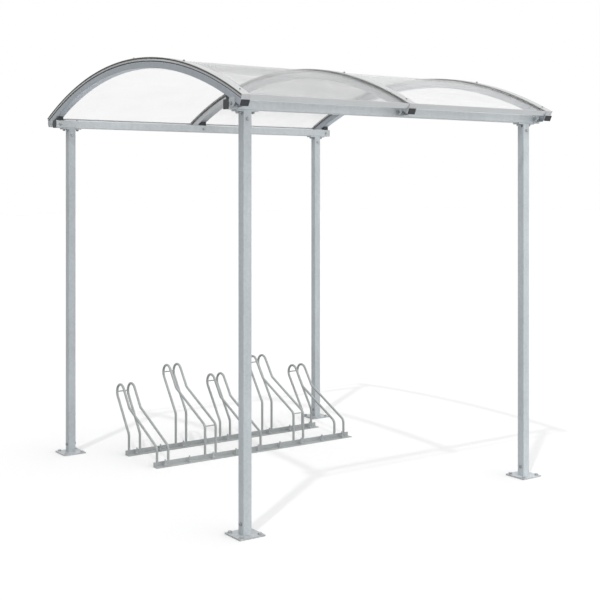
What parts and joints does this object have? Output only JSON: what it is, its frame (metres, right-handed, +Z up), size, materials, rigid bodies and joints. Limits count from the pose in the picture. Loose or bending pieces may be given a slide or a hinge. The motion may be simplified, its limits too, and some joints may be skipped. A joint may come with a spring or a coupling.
{
  "type": "bike shelter",
  "caption": "Open bike shelter with square galvanised posts and beams, arched ribs under a clear vaulted sheet roof, and a low rail rack of bent-bar wheel holders.",
  "frame": {"origin": "on the ground, at the middle of the plan", "axes": "+X along the beams, +Y from the open front towards the rack at the back, +Z up"},
  "size_m": [2.24, 2.4252, 2.5017],
  "materials": {
    "frame_steel": "hot-dip galvanised, satin with a faint spangle",
    "rack_steel": "galvanised, satin",
    "roof_alu": "mill finish",
    "cap_plastic": "moulded black plastic",
    "roof_rubber": "matt",
    "roof_sheet": "clear hollow-chamber plastic sheet"
  },
  "bodies": {
    "root": {"post_front_left": "frame_steel", "foot_front_left": "frame_steel", "head_front_left": "frame_steel", "post_front_right": "frame_steel", "foot_front_right": "frame_steel", "head_front_right": "frame_steel", "post_back_left": "frame_steel", "foot_back_left": "frame_steel", "head_back_left": "frame_steel", "post_back_right": "frame_steel", "foot_back_right": "frame_steel", "head_back_right": "frame_steel", "front_beam": "frame_steel", "back_beam": "frame_steel", "rib_left": "frame_steel", "rib_middle": "frame_steel", "rib_right": "frame_steel", "front_rib_shoes": "frame_steel", "back_rib_shoes": "frame_steel", "front_beam_caps": "cap_plastic", "back_beam_caps": "cap_plastic", "front_rib_caps": "cap_plastic", "back_rib_caps": "cap_plastic", "front_rib_wedges": "cap_plastic", "back_rib_wedges": "cap_plastic", "sheet_left": "roof_sheet", "sheet_right": "roof_sheet", "front_eaves": "roof_alu", "back_eaves": "roof_alu", "cover_strip_left": "roof_alu", "cover_strip_middle": "roof_alu", "cover_strip_right": "roof_alu", "under_gasket_left": "roof_rubber", "under_gasket_middle": "roof_rubber", "under_gasket_right": "roof_rubber", "over_gasket_left": "roof_rubber", "over_gasket_middle": "roof_rubber", "over_gasket_right": "roof_rubber", "rack_front_rail": "rack_steel", "rack_back_rail": "rack_steel", "wheel_holder_1": "rack_steel", "wheel_holder_2": "rack_steel", "wheel_holder_3": "rack_steel", "wheel_holder_4": "rack_steel", "wheel_holder_5": "rack_steel"}
  },
  "joints": []
}
